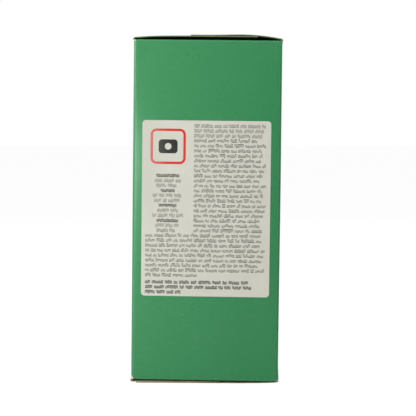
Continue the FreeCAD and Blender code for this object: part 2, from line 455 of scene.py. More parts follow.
@dataclass(frozen=True)
class PrintedBoard:
    """Green print under a satin varnish, with the board showing where the folds are worn. Its green runs from
    light at the top left to deep at the bottom right, a painted light and shade of the key lamp.

    Each worn corner has its place on the narrow panel and its reach.
    """

    form: CartonForm
    # light and deep are the two ends of a painted light and shade: lighter toward the top left, darker toward
    # the bottom right.
    light: Colour = linear(67, 149, 95)
    deep: Colour = linear(45, 133, 80)
    smudge: Colour = linear(34, 110, 66)
    # The pale green along the folds is partly rubbed ink and partly a painted highlight where the rounded
    # folds catch the light.
    rubbed_and_highlight: Colour = linear(134, 180, 148)
    # The pale green on the crease ridges is a painted highlight along the fold lines.
    ridge_and_highlight: Colour = linear(140, 205, 160)
    # The colour of worn print, on cracked folds and specks.
    wear_and_highlight: Colour = linear(176, 178, 150)
    board: Colour = linear(190, 176, 150)
    torn: Colour = linear(226, 216, 198)
    rough: float = 0.22
    gloss: float = 0.5
    relief_depth: float = 0.00006
    relief_strength: float = 0.35
    fold_band: float = 0.85
    crease_inset: float = 1.2
    crease_half_width: float = 0.28
    end_crease_inset: float = 0.55
    end_crease_gain: float = 1.6
    crease_end: float = 0.3
    blotches: Grain = Grain(0.05, 2.0)
    mottle: Grain = Grain(0.4, 1.0)
    rubbing: Grain = Grain(0.55, 5.0, 0.7)
    cracks: Grain = Grain(1.9, 5.0, 0.75, (1.0, 1.0, 0.22))
    tearing: Grain = Grain(1.1, 3.0, 0.6)
    smudges: tuple[Mark, ...] = (
        Mark(-31.4, 167.4, 0.9, 1.6, 0.8),
        Mark(-31.3, 162.7, 0.8, 2.6, 0.7),
        Mark(-24.7, 165.2, 0.9, 1.4, 1.0),
        Mark(-24.6, 163.1, 0.5, 2.6, 0.4),
        Mark(-17.7, 164.1, 0.6, 2.4, 0.6),
        Mark(-10.6, 165.1, 1.3, 1.2, 1.0),
        Mark(-11.3, 162.1, 0.6, 1.6, 0.4),
        Mark(-4.5, 164.9, 1.0, 1.7, 1.2),
        Mark(-4.2, 162.4, 0.5, 1.9, 0.5),
        Mark(2.4, 166.1, 0.5, 4.2, 0.5),
    )
    specks: tuple[Mark, ...] = (
        Mark(-11.6, 33.7, 0.42, 0.42, 0.3),
        Mark(-4.9, 22.2, 0.36, 0.36, 0.3),
        Mark(2.2, 22.1, 0.34, 0.34, 0.22),
    )
    worn_corners: tuple[Point3, ...] = (
        (-37.5, 0.1, 2.1),
        (37.5, 0.2, 1.4),
        (-37.5, 173.0, 1.5),
        (37.5, 172.9, 1.1),
    )

    def folds(self, bench: BoardBench) -> tuple[Wire, Wire]:
        """Finds the folds.

        Args:
            bench: The material's bench.

        Returns:
            How near the middle of an upright fold a point lies, and the same for any fold, from 0 to 1.
        """
        middle = self.form.panel_height / 2
        beyond_x = abs(bench.x) - (self.form.width / 2 - self.fold_band)
        beyond_y = abs(bench.y) - (self.form.depth / 2 - self.fold_band)
        beyond_z = abs(bench.z - middle) - (middle - self.fold_band)
        upright = beyond_x.least(beyond_y)
        level = beyond_z.least(beyond_x.most(beyond_y))
        return upright.eased(0.35, 0.68), upright.most(level).eased(0.1, 0.9)

    def creases(self, bench: BoardBench) -> Wire:
        """Finds the fine ridge that a crease raises round each narrow panel, just inside its folds.

        Args:
            bench: The material's bench.

        Returns:
            The ridge's height, about 1 at most beside an upright fold.
        """
        middle, wide = self.form.panel_height / 2, self.crease_half_width
        side = self.form.width / 2 - abs(bench.x) - self.crease_inset
        end = middle - abs(bench.z - middle) - self.end_crease_inset
        blend = (-self.crease_end, self.crease_end)
        upright = (1.0 - abs(side).eased(0.0, wide)) * end.eased(*blend)
        level = (1.0 - abs(end).eased(0.0, wide)) * side.eased(*blend) * self.end_crease_gain
        # Painted highlight: the crease is stronger toward the top and fades toward the bottom, as the light
        # falls along the left fold; the ridge's relief follows it too.
        wear_and_highlight = 0.8 + (bench.z - middle) * (0.25 / middle)
        return upright.most(level) * wear_and_highlight * (abs(bench.y) - (self.form.depth / 2 - 1.0)).eased(0.0, 0.4)

    def corners(self, bench: BoardBench) -> Wire:
        """Finds the eight corners, where the print has come off.

        Args:
            bench: The material's bench.

        Returns:
            How bare the board is, from 0 to 1.
        """
        torn = bench.noise(self.tearing).swing(1.6)
        deep = (abs(bench.y) - self.form.depth / 2) * 0.6
        found: Number = 0.0
        for corner_x, corner_z, reach in self.worn_corners:
            across = (bench.x - corner_x) * (1.5 / reach)
            up = (bench.z - corner_z) * (1.0 / reach)
            far = across * across + up * up + deep * deep
            found = (1.0 - (far + torn).eased(0.7, 0.95)).most(found)
        return found

    def marked(self, bench: BoardBench, marks: Sequence[Mark]) -> Wire:
        """Lays small soft marks on the printed narrow panel.

        Args:
            bench: The material's bench.
            marks: The marks.

        Returns:
            Their strength, 0 between them.
        """
        found: Number = 0.0
        for mark in marks:
            across = (bench.x - mark.x) * (1.0 / mark.wide)
            up = (bench.z - mark.z) * (1.0 / mark.tall)
            found = ((1.0 - (across * across + up * up).eased(0.1, 1.0)) * mark.strength).most(found)
        return found * (0.0 - bench.y).eased(0.0, 1.0)

    def material(self) -> bpy.types.Material:
        """Builds the finish, from the green ground to what lies on it and what has come off.

        Returns:
            The material.
        """
        bench = BoardBench("green_printed_board", self.form)
        speckle, fibres = bench.noise(SPECKLE), bench.noise(FIBRES)
        high = bench.z * (1.0 / self.form.panel_height)
        # Painted light and shade: lighter toward the left and the top, darker toward the right and the
        # bottom; the blotches and mottle below are the print's own unevenness.
        share = 0.5 + bench.x * (0.5 / self.form.width) - high.swing(0.5)
        share = share + bench.noise(self.blotches).swing(0.3) + bench.noise(self.mottle).swing(0.35)
        spine, near = self.folds(bench)
        cracked = spine * bench.noise(self.cracks).eased(0.44, 0.62)
        ridge_and_highlight, bare = self.creases(bench), self.corners(bench)
        colour = bench.mixed(share + speckle.swing(0.9), self.light, self.deep)
        layers = (
            (self.marked(bench, self.smudges) * speckle * 0.3, self.smudge),
            # Along the folds: rubbed ink, and with it a painted highlight on the rounded folds.
            (near * bench.noise(self.rubbing).eased(0.45, 0.72) * 0.3, self.rubbed_and_highlight),
            (cracked * 0.55, self.wear_and_highlight),
            (self.marked(bench, self.specks), self.wear_and_highlight),
            # Painted highlight on the crease ridges.
            (ridge_and_highlight * 0.14, self.ridge_and_highlight),
            (bare, bench.mixed(fibres.eased(0.35, 0.65), self.board, self.torn)),
        )
        for share, over in layers:
            colour = bench.mixed(share, colour, over)
        rough = self.rough + speckle.swing(0.06) + near * 0.08 + cracked * 0.2 + bare * 0.5
        relief = fibres * 0.5 + speckle * 0.35 + ridge_and_highlight * 0.5 - cracked * 0.6 - bare * 0.8
        return bench.finish(colour, rough, self.gloss, relief, self.relief_depth, self.relief_strength)


@dataclass(frozen=True)
class BareBoard:
    """Grey-brown carton board without print, at a cut edge or on the inside.

    Towards the top it takes a tint, and under that it darkens from left to right by its drift, a painted
    shade of the dim lower right edges.
    """

    form: CartonForm
    name: str
    pale: Colour
    dark: Colour
    layers: float = 1.0
    top_tint: float = 0.0
    # Painted shade: how much the board darkens toward the right below the top.
    shade_drift: float = 0.0
    tint: Colour = linear(98, 124, 82)
    rough: float = 0.9
    gloss: float = 0.15
    relief_depth: float = 0.00012
    relief_strength: float = 0.6
    flecks: Grain = Grain(3.1, 3.0, 0.7)
    stains: Grain = Grain(0.16, 2.0)

    def material(self) -> bpy.types.Material:
        """Builds the finish.

        Returns:
            The material.
        """
        bench = BoardBench(self.name, self.form)
        pulp = bench.noise(Grain(1.7, 4.0, 0.7, (0.6, 0.6, self.layers)))
        flecks, stains = bench.noise(self.flecks), bench.noise(self.stains)
        high = bench.z.eased(self.form.panel_height * 0.4, self.form.panel_height * 0.6)
        share = (pulp * 0.55 + flecks * 0.25 + stains * 0.2).eased(0.36, 0.64)
        # Painted shade: darker toward the right, in the lower part.
        share = share - bench.x * (1.0 - high) * (self.shade_drift / self.form.width)
        colour = bench.mixed(high * self.top_tint, bench.mixed(share, self.dark, self.pale), self.tint)
        relief = pulp * 0.6 + flecks * 0.4
        return bench.finish(colour, self.rough, self.gloss, relief, self.relief_depth, self.relief_strength)


@dataclass(frozen=True)
class Ink:
    """A printed field, line or symbol under the board's varnish, with painted light beside the upper left
    fold: a painted glare that pales the red, dark and grey inks, and a painted shade that dims the pale ink.
    """

    form: CartonForm
    name: str
    colour: Colour
    thin: Colour
    # The colour of the painted light beside the upper left fold: paler for a painted glare, darker for a
    # painted shade.
    painted_light_colour: Colour
    rough: float = 0.24
    gloss: float = 0.5
    relief_depth: float = 0.00005
    relief_strength: float = 0.3
    painted_light_across: Point = (18.0, 31.0)
    painted_light_up: Point = (65.0, 105.0)
    clouds: Grain = Grain(0.12, 3.0, 0.6)
    grit: Grain = Grain(2.2, 3.0, 0.6)

    def material(self) -> bpy.types.Material:
        """Builds the finish.

        Returns:
            The material.
        """
        bench = BoardBench(self.name, self.form)
        cover = bench.noise(self.clouds) * 0.6 + bench.noise(self.grit) * 0.4
        # Painted glare and shade: the ink is mixed toward that colour beside the upper left fold.
        painted_light_share = (0.0 - bench.x).eased(*self.painted_light_across) * bench.z.eased(*self.painted_light_up)
        colour = bench.mixed(cover.eased(0.32, 0.68), self.colour, self.thin)
        colour = bench.mixed(painted_light_share, colour, self.painted_light_colour)
        rough, relief = self.rough + cover.swing(0.1), bench.noise(FIBRES)
        return bench.finish(colour, rough, self.gloss, relief, self.relief_depth, self.relief_strength)


def add_object(name: str, data: bpy.types.ID) -> bpy.types.Object:
    """Makes an object in the scene, at the origin.

    Args:
        name: Its name.
        data: What it shows.

    Returns:
        The object.
    """
    made = bpy.data.objects.new(name, data)
    bpy.context.scene.collection.objects.link(made)
    return made


def applied(shaped: bpy.types.Object, name: str) -> bpy.types.Mesh:
    """Returns what an object's modifiers make of it, as a plain mesh with a new name."""
    mesh = bpy.data.meshes.new_from_object(shaped.evaluated_get(bpy.context.evaluated_depsgraph_get()))
    mesh.name = name
    return mesh


def made_mesh(maker: bmesh.types.BMesh, name: str, *materials: bpy.types.Material) -> bpy.types.Mesh:
    """Turns what a mesh maker holds into a mesh.

    Args:
        maker: The mesh maker, which is used up.
        name: The mesh's name.
        materials: The materials of its slots.

    Returns:
        The mesh.
    """
    mesh = bpy.data.meshes.new(name)
    maker.to_mesh(mesh)
    maker.free()
    for material in materials:
        mesh.materials.append(material)
    return mesh


def wire_mesh(name: str, paths: Iterable[Sequence[Point3]], closed: bool = False) -> bpy.types.Mesh:
    """Makes a mesh of bare edges.

    Args:
        name: Its name.
        paths: The points of each path.
        closed: Whether each path ends where it starts.

    Returns:
        The mesh.
    """
    points, edges = [], []
    for path in paths:
        first = len(points)
        points += path
        for step in range(len(path) if closed else len(path) - 1):
            edges.append((first + step, first + (step + 1) % len(path)))
    mesh = bpy.data.meshes.new(name)
    mesh.from_pydata(points, edges, [])
    return mesh


def join_rings(maker: bmesh.types.BMesh, rings: Sequence[Sequence[Any]], stocks: Sequence[Stock]) -> None:
    """Fills the space between closed rings of points.

    Args:
        maker: The mesh maker that holds the points.
        rings: The rings, each with as many points.
        stocks: What the board shows from each point of a ring to the next one.
    """
    for low, high in zip(rings, rings[1:]):
        for index, stock in enumerate(stocks):
            after = (index + 1) % len(stocks)
            face = maker.faces.new((low[index], low[after], high[after], high[index]))
            face.material_index = stock.value


def add_piece(name: str, mesh: bpy.types.Mesh, slot: str, *nodes: str) -> None:
    """Puts a finished mesh into the scene as a piece of the carton.

    Args:
        name: The piece's name.
        mesh: Its mesh, in place.
        slot: The record's material slot for the piece; not used.
        nodes: The solids that it stands for.
    """
    piece = add_object(name, mesh)
    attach(piece, BODY)
    if nodes:
        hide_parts(*nodes)
    mesh.calc_loop_triangles()
    log.info("%s: %d triangles", name, len(mesh.loop_triangles))


class GeometryTree(Bench):
    """A Geometry Nodes tree with named inputs, and what it makes of a base mesh."""

    def __init__(self, name: str, inputs: Mapping[str, str]) -> None:
        """Starts a tree.

        Args:
            name: Its name.
            inputs: The socket type of each named input.
        """
        super().__init__(bpy.data.node_groups.new(name, "GeometryNodeTree"))
        new_socket = self.tree.interface.new_socket
        for way in ("INPUT", "OUTPUT"):
            new_socket("Geometry", in_out=way, socket_type="NodeSocketGeometry")
        self.sockets = {
            title: new_socket(title, in_out="INPUT", socket_type=kind) for title, kind in inputs.items()
        }
        self.base = self.node("NodeGroupInput")

    def given(self, title: str) -> Wire:
        """Returns a link to a named input."""
        return self.base.output(title)

    def drawn(self, kind: str, seed_step: int, values: Values) -> Wire:
        """Returns a random value of a kind, drawn with the tree's seed plus a step."""
        values = {"Seed": self.given("Seed") + seed_step, **values}
        return self.node("FunctionNodeRandomValue", {"data_type": kind}, values)

    def close(self, geometry: Wire, material: bpy.types.Material) -> "GeometryTree":
        """Ends the tree.

        Args:
            geometry: What it makes.
            material: The material of what it makes.

        Returns:
            The finished tree.
        """
        plain = self.node("GeometryNodeRealizeInstances", {}, {"Geometry": geometry})
        dressed = self.node("GeometryNodeSetMaterial", {}, {"Geometry": plain, "Material": material})
        self.node("NodeGroupOutput", {}, {0: dressed})
        return self

    def run(self, base: bpy.types.Mesh, name: str, values: Mapping[str, float]) -> bpy.types.Mesh:
        """Runs the tree once.

        Args:
            base: The mesh that it starts from.
            name: The name of the new mesh.
            values: The value of each named input.

        Returns:
            What it made, as a plain mesh.
        """
        holder = add_object(name, base)
        modifier = holder.modifiers.new("nodes", "NODES")
        modifier.node_group = self.tree
        for title, value in values.items():
            modifier[self.sockets[title].identifier] = value
        mesh = applied(holder, name)
        bpy.data.objects.remove(holder)
        return mesh


@dataclass(frozen=True)
class Flap:
    """A closing flap, drawn as distances from its wide panel and heights over the narrow panels' fold.

    Its cut end stays short of the other wide panel, its side edges stay back from the narrow panels, and its
    height at a distance is that of its inside face.
    """

    form: CartonForm
    side: Side
    end: End
    short: float
    setback: float
    height: Callable[[float], float]

    def fold_centre(self) -> Point:
        """Returns the middle of the fold that it hangs on."""
        radius = self.form.flap_fold_radius
        return radius - self.form.flap_fold_proud, self.height(0.0) + self.form.board - radius

    def placed(self, point: Point) -> Point:
        """Returns the place along X and Z on the square carton of a point of its drawing."""
        top = self.form.panel_height if self.end is End.TOP else 0.0
        return self.side.value * (self.form.width / 2 - point[0]), top + self.end.value * point[1]


@dataclass
class FoldedBlank:
    """The carton itself: four upright panels, the seam, and a pair of closing flaps at each end.

    A flap's bend runs between two angles in degrees. Behind it the flap's fold is swollen down to the bead's
    lead, where a thin ledge still parts it from the wide panel.
    """

    form: CartonForm
    printed: bpy.types.Material
    cut: bpy.types.Material
    inside: bpy.types.Material
    arc_spans: int = 6
    bead_spans: int = 8
    bend_spans: int = 5
    flap_spans: int = 34
    least_spans: int = 6
    panel_step: float = 3.0
    first_step: float = 1.2
    crowding: float = 0.7 / math.tau
    bead_lead: float = 1.1
    bend: Point = (168.0, 108.0)
    bend_clear: float = 0.35
    ledge: float = 0.01
    top_inner_short: float = 12.4
    top_outer_short: float = 28.7
    bottom_inner_short: float = 30.0
    bottom_outer_short: float = 2.6
    top_inner_root: float = 0.6
    top_inner_spring: float = 0.98
    top_inner_run: float = 12.0
    top_outer_root: float = 0.4
    top_outer_run: float = 10.0
    top_outer_hump: float = 0.38
    top_outer_hump_at: float = 19.0
    top_outer_hump_width: float = 8.0
    inner_setback: float = 0.7
    heel: float = 0.6
    heel_run: float = 9.0
    cut_margin: float = 0.02
    facing_end: float = 0.7
    facing_up: float = 0.5
    weld: float = 1e-4
    sharp_angle: float = math.radians(38.0)

    def top_inner_height(self, s: float) -> float:
        """Returns the top inner flap's height over the top fold, at s from its wide panel."""
        return self.top_inner_root + self.top_inner_spring * math.tanh(s / self.top_inner_run)

    def top_outer_height(self, s: float) -> float:
        """Finds the top outer flap's height, which climbs onto the inner flap and bows before it lands.

        Args:
            s: The distance from its wide panel.

        Returns:
            Its height over the top fold.
        """
        landing = self.top_inner_root + self.top_inner_spring + self.form.board - self.form.glue_bite
        rise = (landing - self.top_outer_root) * math.tanh(s / self.top_outer_run)
        offset = (s - self.top_outer_hump_at) / self.top_outer_hump_width
        return self.top_outer_root + rise + self.top_outer_hump * math.exp(-0.5 * offset**2)

    def bottom_inner_height(self, s: float) -> float:
        """Returns how far the bottom inner flap lies under the bottom fold, at s from its wide panel."""
        form = self.form
        return form.floor_drop(s - form.width / 2) - 2 * form.board + form.glue_bite

    def bottom_outer_height(self, s: float) -> float:
        """Returns how far the bottom outer flap lies under the bottom fold, at s from its wide panel."""
        lift = self.heel * math.exp(-s / self.heel_run)
        return self.form.floor_drop(self.form.width / 2 - s) - self.form.board - lift

    def flaps(self) -> list[Flap]:
        """Lists the closing flaps.

        Returns:
            The two flaps of the top and the two of the bottom.
        """
        near, deep = self.form.flap_setback, self.form.flap_setback + self.inner_setback
        sizes = (
            (Side.LEFT, End.TOP, self.top_inner_short, near, self.top_inner_height),
            (Side.RIGHT, End.TOP, self.top_outer_short, near, self.top_outer_height),
            (Side.LEFT, End.BOTTOM, self.bottom_inner_short, deep, self.bottom_inner_height),
            (Side.RIGHT, End.BOTTOM, self.bottom_outer_short, near, self.bottom_outer_height),
        )
        return [Flap(self.form, *size) for size in sizes]

    def stretch(self, start: Point, end: Point) -> list[Point]:
        """Returns a straight stretch without its last point, with shorter spans near its ends."""
        evens = spread(0.0, 1.0, max(self.least_spans, round(math.dist(start, end) / self.panel_step)))[:-1]
        return [between(start, end, even - self.crowding * math.sin(math.tau * even)) for even in evens]

    def plan(self) -> tuple[list[Point], list[Stock]]:
        """Goes once round the carton, seen from above.

        Returns:
            The stations, and what the board shows from each one to the next.
        """
        form = self.form
        x, y, r = form.width / 2, form.depth / 2, form.corner_radius
        tab_y = y - form.board - r
        seam = (-x + form.seam_setback, y)
        turn = math.degrees(math.acos(1 - form.seam_setback / r))
        before_seam = [
            *arc((-x + r, -y + r), r, 180, 270, self.arc_spans)[:-1],
            *self.stretch((-x + r, -y), (x - r, -y)),
            *arc((x - r, -y + r), r, 270, 360, self.arc_spans)[:-1],
            *self.stretch((x, -y + r), (x, y - r)),
            *arc((x - r, y - r), r, 0, 90, self.arc_spans)[:-1],
            *self.stretch((x - r, y), seam),
        ]
        after_seam = [
            *arc((-x + r, tab_y), r, 180 - turn, 180, self.arc_spans)[:-1],
            *self.stretch((-x, tab_y), (-x, -y + r)),
        ]
        stocks = [Stock.PRINTED] * len(before_seam) + [Stock.CUT] + [Stock.PRINTED] * len(after_seam)
        return [*before_seam, seam, *after_seam], stocks

    def levels(self) -> list[float]:
        """Divides the upright panels.

        Returns:
            The heights of the rings, closer together at the folds.
        """
        top, r = self.form.panel_height, self.form.dust_fold_radius
        first = r + self.first_step
        bend = [r * (1 - math.cos(angle)) for angle in spread(0.0, math.pi / 2, self.arc_spans)]
        plain = spread(r, top - r, round(top / self.panel_step))
        return [*bend[:-1], r, first, *plain[1:-1], top - first, *(top - h for h in reversed(bend))]

    def panels(self) -> bpy.types.Mesh:
        """Builds the four upright panels with the dust flaps' folds.

        Returns:
            The panels, as a closed mesh.
        """
        form = self.form
        r = form.dust_fold_radius
        maker = bmesh.new()
        stations, stocks = self.plan()
        rings = []
        for z in self.levels():
            past = max(0.0, r - z, z - (form.panel_height - r))
            limit = form.depth / 2 - r + math.sqrt(max(0.0, r * r - past * past))
            rings.append([maker.verts.new((x, max(-limit, min(limit, y)), z)) for x, y in stations])
        join_rings(maker, rings, stocks)
        maker.faces.new(rings[0][::-1])
        maker.faces.new(rings[-1])
        bmesh.ops.remove_doubles(maker, verts=maker.verts, dist=self.weld)
        return made_mesh(maker, "panels", self.printed, self.cut, self.inside)

    def section(self, flap: Flap) -> list[Point]:
        """Draws a closing flap, seen along its fold.

        Args:
            flap: The flap.

        Returns:
            The closed outline of its cut.
        """
        form = self.form
        centre = flap.fold_centre()
        outer: list[Point] = []
        for share in spread(0.0, 1.0, self.bead_spans):
            swell = self.ledge + (form.flap_fold_proud - self.ledge) * (1 - math.cos(math.pi * share)) / 2
            outer.append((-swell, centre[1] - self.bead_lead * (1 - share)))
        outer += arc(centre, form.flap_fold_radius, *self.bend, self.bend_spans)
        for s in spread(centre[0] + self.bend_clear, form.width - flap.short, self.flap_spans):
            outer.append((s, flap.height(s) + form.board))
        inner: list[Point] = []
        for before, (s, h), after in zip(outer[:1] + outer, outer, outer[1:] + outer[-1:]):
            run, rise = after[0] - before[0], after[1] - before[1]
            scale = form.board / math.hypot(run, rise)
            inner.append((s + rise * scale, h - run * scale))
        return outer + inner[::-1]

    def swept(self, tree: GeometryTree, flap: Flap) -> bpy.types.Mesh:
        """Sweeps a closing flap along the carton's depth.

        Args:
            tree: The tree that sweeps a section.
            flap: The flap.

        Returns:
            The flap, square to the carton.
        """
        outline = [(x, -z, 0.0) for x, z in map(flap.placed, self.section(flap))]
        depth = self.form.depth - 2 * flap.setback
        values = {"Depth": depth, "Spans": round(depth / self.panel_step)}
        maker = bmesh.new()
        maker.from_mesh(tree.run(wire_mesh("section", [outline], closed=True), "flap", values))
        if maker.calc_volume(signed=True) < 0:
            bmesh.ops.reverse_faces(maker, faces=maker.faces)
        inwards = -flap.side.value
        cut_end = max(inwards * x for x, _, _ in outline) - self.cut_margin
        for face in maker.faces:
            face.normal_update()
            normal = face.normal
            outside = normal.z * flap.end.value - inwards * normal.x * (abs(normal.z) < self.facing_up)
            stock = Stock.INSIDE if outside < 0 else Stock.PRINTED
            if abs(normal.y) > self.facing_end or inwards * face.calc_center_median().x > cut_end:
                stock = Stock.CUT
            face.material_index = stock.value
        return made_mesh(maker, "flap", self.printed, self.cut, self.inside)

    def sweep_tree(self) -> GeometryTree:
        """Builds the tree that sweeps a closed section along Y and closes both its ends.

        Returns:
            The tree.
        """
        tree = GeometryTree("closing_flap", {"Depth": FLOAT, "Spans": WHOLE})
        start = tree.node("ShaderNodeCombineXYZ", {}, {"Y": tree.given("Depth") * -0.5})
        end = tree.node("ShaderNodeCombineXYZ", {}, {"Y": tree.given("Depth") * 0.5})
        path = tree.node("GeometryNodeCurvePrimitiveLine", {}, {"Start": start, "End": end})
        count = tree.given("Spans") + 1.0
        stations = tree.node("GeometryNodeResampleCurve", {}, {"Curve": path, "Count": count})
        section = tree.node("GeometryNodeMeshToCurve", {}, {0: tree.base})
        values = {"Curve": stations, "Profile Curve": section, "Fill Caps": True}
        return tree.close(tree.node("GeometryNodeCurveToMesh", {}, values), self.printed)

    def build(self) -> None:
        """Joins the panels and the four closing flaps into one folded blank, and puts it in place."""
        tree = self.sweep_tree()
        blank = add_object("blank", self.panels())
        helpers = [blank]
        for flap in self.flaps():
            helpers.append(add_object("flap", self.swept(tree, flap)))
            joint = blank.modifiers.new("join", "BOOLEAN")
            joint.operation, joint.solver, joint.object = "UNION", "MANIFOLD", helpers[-1]
        mesh = applied(blank, "carton_board")
        for helper in helpers:
            bpy.data.objects.remove(helper)
        mesh.shade_smooth()
        mesh.set_sharp_from_angle(angle=self.sharp_angle)
        self.form.set_down(mesh)
        add_piece("carton_board", mesh, "printed_board", "carton")


@dataclass
class PrintedField:
    """The pale field on the narrow panel, and the layers of ink on it."""

    form: CartonForm
    left: float = 4.75
    right: float = 5.1
    below: float = 43.0
    above: float = 40.6
    corner: float = 1.8
    column_inset: float = 26.3
    ink: float = 0.03
    grid: float = 3.0
    corner_spans: int = 7

    @property
    def x(self) -> Point:
        """The field's two sides."""
        return (-self.form.width / 2 + self.left, self.form.width / 2 - self.right)

    @property
    def z(self) -> Point:
        """The field's foot and top."""
        return (self.below, self.form.panel_height - self.above)

    def rounded(self, x: Point, z: Point, radius: float, side_spans: int = 1) -> list[Point]:
        """Draws a rectangle with rounded corners.

        Args:
            x: Its two sides.
            z: Its foot and top.
            radius: Its corners' radius.
            side_spans: How many spans each straight side is divided into.

        Returns:
            The closed outline.
        """
        bends = []
        for start, (across, up) in enumerate(((1, 1), (0, 1), (0, 0), (1, 0))):
            centre = (x[across] + radius * (1 - 2 * across), z[up] + radius * (1 - 2 * up))
            bends.append(arc(centre, radius, 90 * start, 90 * start + 90, self.corner_spans))
        points: list[Point] = []
        for bend, after in zip(bends, bends[1:] + bends[:1]):
            points += bend
            points += [between(bend[-1], after[0], share) for share in spread(0.0, 1.0, side_spans)[1:-1]]
        return points

    def layer(self, maker: bmesh.types.BMesh, name: str, material: bpy.types.Material) -> bpy.types.Mesh:
        """Gives flat faces the thickness of a layer of ink and sets them down on the panel.

        Args:
            maker: The flat faces on the layer's outer side, which are used up.
            name: The mesh's name.
            material: The ink.

        Returns:
            The finished mesh.
        """
        grown = bmesh.ops.extrude_face_region(maker, geom=maker.faces[:], use_keep_orig=True)["geom"]
        sunk = [part for part in grown if isinstance(part, bmesh.types.BMVert)]
        bmesh.ops.translate(maker, verts=sunk, vec=(0.0, 2 * self.ink, 0.0))
        bmesh.ops.recalc_face_normals(maker, faces=maker.faces)
        mesh = made_mesh(maker, name, material)
        self.form.set_down(mesh)
        return mesh

    def outer_y(self, layers: int) -> float:
        """Returns the plane of the outer side of a layer of ink, counted from the board."""
        return self.form.front - self.ink * layers

    def build(self, material: bpy.types.Material) -> None:
        """Builds the pale field.

        Args:
            material: Its ink.
        """
        maker = bmesh.new()
        outline = self.rounded(self.x, self.z, self.corner)
        maker.faces.new([maker.verts.new((x, self.outer_y(1), z)) for x, z in outline])
        for axis, (low, high) in ((Vector((1, 0, 0)), self.x), (Vector((0, 0, 1)), self.z)):
            for cut in spread(low, high, round((high - low) / self.grid))[1:-1]:
                parts = maker.faces[:] + maker.edges[:]
                bmesh.ops.bisect_plane(maker, geom=parts, plane_co=axis * cut, plane_no=axis)
        add_piece("pale_field", self.layer(maker, "pale_field", material), "pale_ink", "pale_field_print")


@dataclass
class PlainSymbol:
    """A rounded red frame round a tablet with a round spot, at the field's top left."""

    ground: PrintedField
    margin: float = 4.2
    line: float = 1.25
    corner: float = 3.0
    tablet_gap_side: float = 2.9
    tablet_gap_above: float = 4.2
    tablet_corner: float = 1.6
    tablet_rim: float = 1.8
    side_spans: int = 6

    @property
    def size(self) -> float:
        """The frame's side."""
        return self.ground.column_inset - 2 * self.margin

    @property
    def centre(self) -> Point:
        """The symbol's middle."""
        x, z = self.ground.x[0], self.ground.z[1]
        return (x + self.ground.column_inset / 2, z - self.margin - self.size / 2)

    def outline(self, width: float, height: float, corner: float) -> list[Point]:
        """Returns a rounded outline round the symbol's middle."""
        (x, z), half, tall = self.centre, width / 2, height / 2
        return self.ground.rounded((x - half, x + half), (z - tall, z + tall), corner, self.side_spans)

    def ring(self, name: str, slot: str, ink: bpy.types.Material, *edges: Sequence[Point]) -> None:
        """Builds the piece of ink that fills the space between two outlines.

        Args:
            name: The piece's name.
            slot: Its material slot.
            ink: Its ink.
            edges: The outer and the inner outline, with as many points.
        """
        maker = bmesh.new()
        y = self.ground.outer_y(2)
        rows = []
        for share in spread(0.0, 1.0, 2):
            places = [between(far, near, share) for far, near in zip(*edges)]
            rows.append([maker.verts.new((x, y, z)) for x, z in places])
        join_rings(maker, rows, [Stock.PRINTED] * len(rows[0]))
        add_piece(name, self.ground.layer(maker, name, ink), slot, name + "_print")

    def build(self, red: bpy.types.Material, dark: bpy.types.Material) -> None:
        """Builds the frame and the tablet.

        Args:
            red: The frame's ink.
            dark: The tablet's ink.
        """
        inside = self.size - 2 * self.line
        outer = self.outline(self.size, self.size, self.corner)
        inner = self.outline(inside, inside, self.corner - self.line)
        self.ring("symbol_frame", "red_ink", red, outer, inner)
        width, height = inside - 2 * self.tablet_gap_side, inside - 2 * self.tablet_gap_above
        edge = self.outline(width, height, self.tablet_corner)
        middle, radius = self.centre, height / 2 - self.tablet_rim
        spot = [between(middle, point, radius / math.dist(middle, point)) for point in edge]
        self.ring("symbol_tablet", "dark_ink", dark, edge, spot)


class Print(Enum):
    """The weights of print: a mark's height, pitch and stroke, a tall mark's gain, and the seed."""

    PLAIN = (1.22, 0.82, 0.146, 1.42, 11)
    CAPITAL = (1.68, 0.8, 0.122, 1.0, 17)
    BOLD = (1.62, 0.84, 0.24, 1.0, 29)

    def __init__(self, height: float, pitch: float, stroke: float, tall: float, seed: int) -> None:
        """Names the values of a weight."""
        self.height, self.pitch, self.stroke, self.tall, self.seed = height, pitch, stroke, tall, seed


